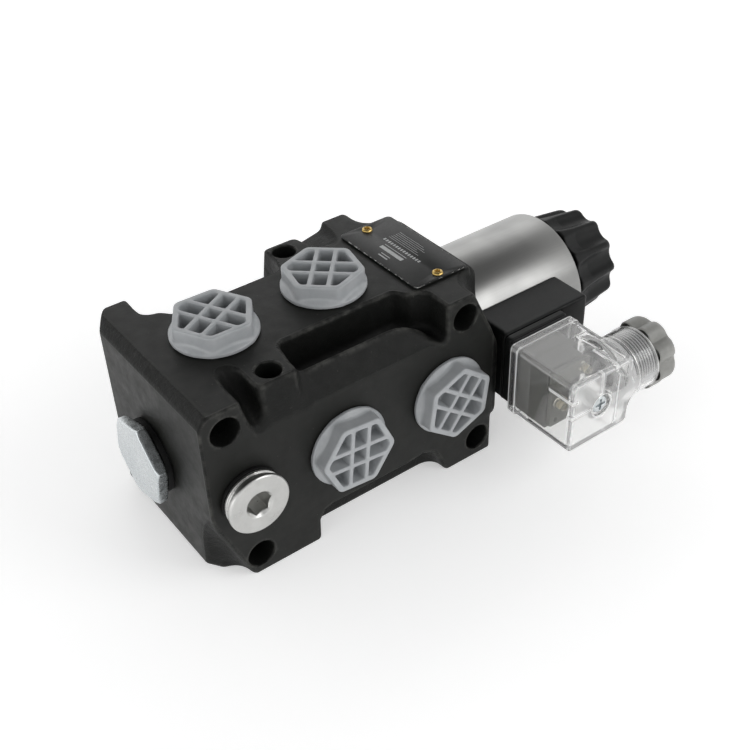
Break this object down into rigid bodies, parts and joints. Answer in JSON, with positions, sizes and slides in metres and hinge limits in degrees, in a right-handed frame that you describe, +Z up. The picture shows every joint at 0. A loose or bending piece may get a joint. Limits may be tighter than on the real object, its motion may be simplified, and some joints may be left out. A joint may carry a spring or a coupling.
{
  "type": "solenoid directional valve",
  "caption": "Cast multi-port directional valve with capped ports, a spring-returned spool, a wet solenoid coil clamped by a lobed nut, and a clear plug connector with a cable gland.",
  "frame": {"origin": "centre of the valve body's underside", "axes": "+X along the spool axis from the end plug to the solenoid, -Y the front face with the drain plug, +Z up"},
  "size_m": [0.1897, 0.1104, 0.0755],
  "materials": {
    "cast_body": "black phosphated casting, satin",
    "grey_plastic": "moulded, waxy",
    "zinc": "bright zinc plated steel",
    "rubber": "matt black",
    "steel": "ground steel",
    "spring_steel": "drawn wire",
    "brass": "plain",
    "coil_steel": "turned and plated",
    "bobbin_plastic": "moulded nylon",
    "copper": "enamelled copper wire",
    "black_plastic": "moulded, fine texture",
    "clear_plastic": "clear moulded plastic",
    "circuit_board": "laminate",
    "lamp": "clear lens",
    "name_plate": "dark printed plate"
  },
  "bodies": {
    "valve": {"valve_body": "cast_body", "port_plug_top_1": "grey_plastic", "port_plug_top_2": "grey_plastic", "port_plug_front_1": "grey_plastic", "port_plug_front_2": "grey_plastic", "port_plug_back_1": "grey_plastic", "port_plug_back_2": "grey_plastic", "drain_plug": "zinc", "drain_plug_seal": "rubber", "end_plug": "zinc", "end_plug_seal": "zinc", "core_tube": "steel", "tube_end_plug": "steel", "name_plate": "name_plate", "plate_rivet_1": "brass", "plate_rivet_2": "brass", "return_spring": "spring_steel"},
    "spool_train": {"spool": "steel", "spring_seat": "steel", "push_pin": "steel", "armature": "steel"},
    "override": {"override_pin": "brass"},
    "coil": {"coil_case": "coil_steel", "coil_end_plate": "steel", "coil_bobbin": "bobbin_plastic", "coil_winding": "copper", "coil_front_seal": "rubber", "coil_rear_seal": "rubber", "terminal_box": "black_plastic", "terminal_blade_1": "steel", "terminal_blade_2": "steel", "terminal_blade_earth": "steel"},
    "nut": {"ring_nut": "black_plastic"},
    "connector": {"connector_gasket": "rubber", "connector_housing": "clear_plastic", "terminal_block": "grey_plastic", "lamp_board": "circuit_board", "lamp_1": "lamp", "lamp_2": "lamp", "screw_seal": "rubber", "gland_seal": "rubber", "gland_washer": "steel"},
    "gland": {"gland_nut": "grey_plastic"},
    "fixing_screw": {"connector_screw": "zinc"}
  },
  "joints": [
    {"name": "spool_slide", "type": "slide", "parent": "valve", "child": "spool_train", "axis": [-1, 0, 0], "range_m": [0, 0.004], "stiffness_N_per_m": 4000, "springref_m": -0.003, "deforming": ["return_spring"]},
    {"name": "override_slide", "type": "slide", "parent": "valve", "child": "override", "axis": [-1, 0, 0], "range_m": [0, 0.003], "stiffness_N_per_m": 1500, "springref_m": -0.001},
    {"name": "ring_nut_spin", "type": "hinge", "parent": "valve", "child": "nut", "pos_m": [0.1145, 0, 0.0342], "axis": [1, 0, 0], "continuous": true},
    {"name": "coil_swivel", "type": "hinge", "parent": "valve", "child": "coil", "pos_m": [0.0805, 0, 0.0342], "axis": [1, 0, 0], "continuous": true},
    {"name": "connector_pull", "type": "slide", "parent": "coil", "child": "connector", "axis": [0, -1, 0], "range_m": [0, 0.02]},
    {"name": "gland_nut_spin", "type": "hinge", "parent": "connector", "child": "gland", "pos_m": [0.0995, -0.0578, 0.0342], "axis": [1, 0, 0], "continuous": true},
    {"name": "connector_screw_spin", "type": "hinge", "parent": "connector", "child": "fixing_screw", "pos_m": [0.0676, -0.066, 0.0342], "axis": [0, -1, 0], "continuous": true}
  ]
}
